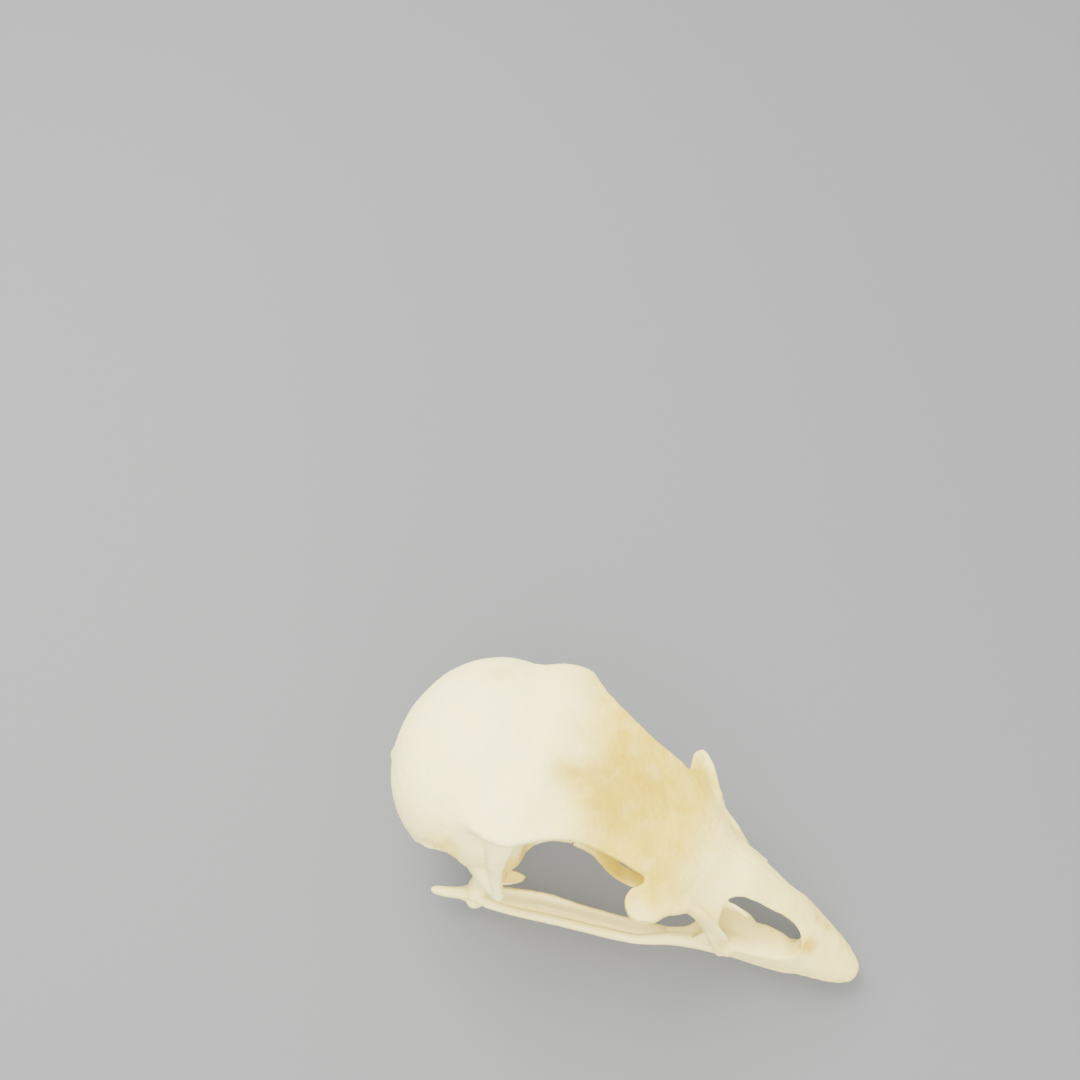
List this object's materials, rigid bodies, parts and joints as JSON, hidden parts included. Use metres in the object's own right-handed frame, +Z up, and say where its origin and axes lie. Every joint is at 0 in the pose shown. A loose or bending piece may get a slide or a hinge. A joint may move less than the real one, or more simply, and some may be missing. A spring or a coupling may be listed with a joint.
{
  "type": "bird skull",
  "caption": "Life-size skull of a domestic hen with its lower jaw, lying on the jaw: round braincase, large orbits, open nostrils and a pointed bill.",
  "frame": {"origin": "on the ground under the middle of the bounding box", "axes": "+X towards the bill tip, +Y the bird's left side, +Z up"},
  "size_m": [0.0728, 0.0315, 0.0335],
  "materials": {
    "pale_bone": "matte dry bone",
    "cream_bone": "matte dry bone",
    "stained_bone": "matte dry bone with a yellow fat stain"
  },
  "bodies": {
    "root": {"braincase": "pale_bone", "frontal": "stained_bone", "septum": "cream_bone", "upper_bill": "cream_bone", "lacrimal_left": "cream_bone", "lacrimal_right": "cream_bone", "jugal_left": "cream_bone", "jugal_right": "cream_bone", "quadrate_left": "cream_bone", "quadrate_right": "cream_bone", "pterygoid_left": "cream_bone", "pterygoid_right": "cream_bone", "palatine_left": "cream_bone", "palatine_right": "cream_bone", "jaw_branch_left": "cream_bone", "jaw_branch_right": "cream_bone", "jaw_tip": "cream_bone"}
  },
  "joints": []
}
